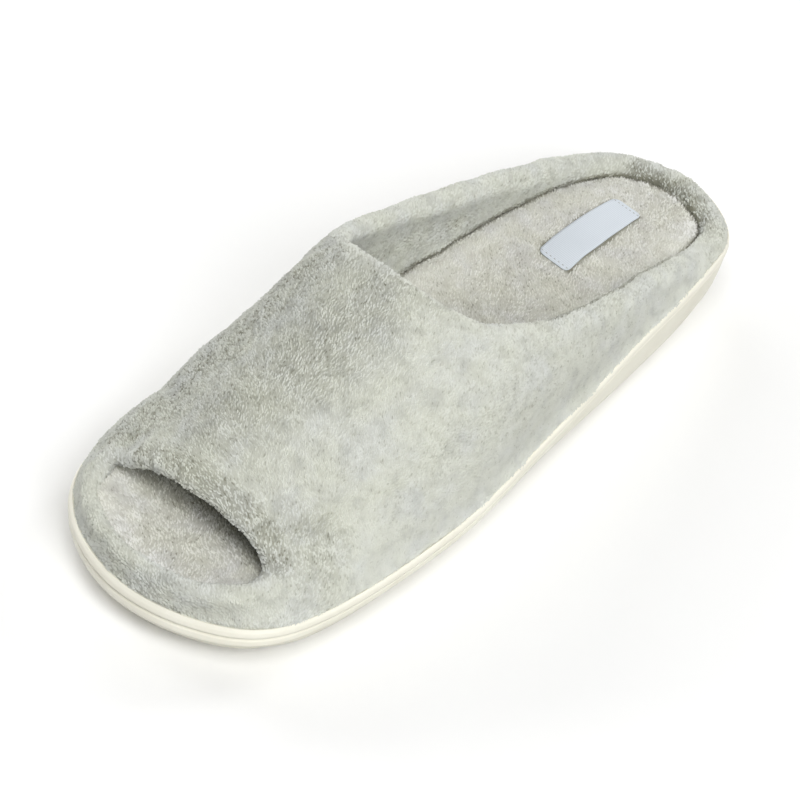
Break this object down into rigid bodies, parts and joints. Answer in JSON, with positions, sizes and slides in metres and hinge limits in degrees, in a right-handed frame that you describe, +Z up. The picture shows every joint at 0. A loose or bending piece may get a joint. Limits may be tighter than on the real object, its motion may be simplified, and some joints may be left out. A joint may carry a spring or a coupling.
{
  "type": "open-toe slipper",
  "caption": "Open-toe mule slipper for a left foot: padded terry upper with a low rolled heel collar, padded terry insole and a moulded sole with a beaded rim",
  "frame": {"origin": "on the floor, under the middle of the bounding box", "axes": "+Z up, +Y from the toe to the heel, +X to the outer (little toe) side of the left foot"},
  "size_m": [0.0976, 0.2668, 0.0788],
  "materials": {
    "sole": "matte cream moulded foam rubber",
    "upper": "heather grey terry with short loops over padding",
    "insole": "heather grey-brown terry over foam"
  },
  "bodies": {
    "root": {"sole": "sole", "upper": "upper", "insole": "insole"}
  },
  "joints": []
}
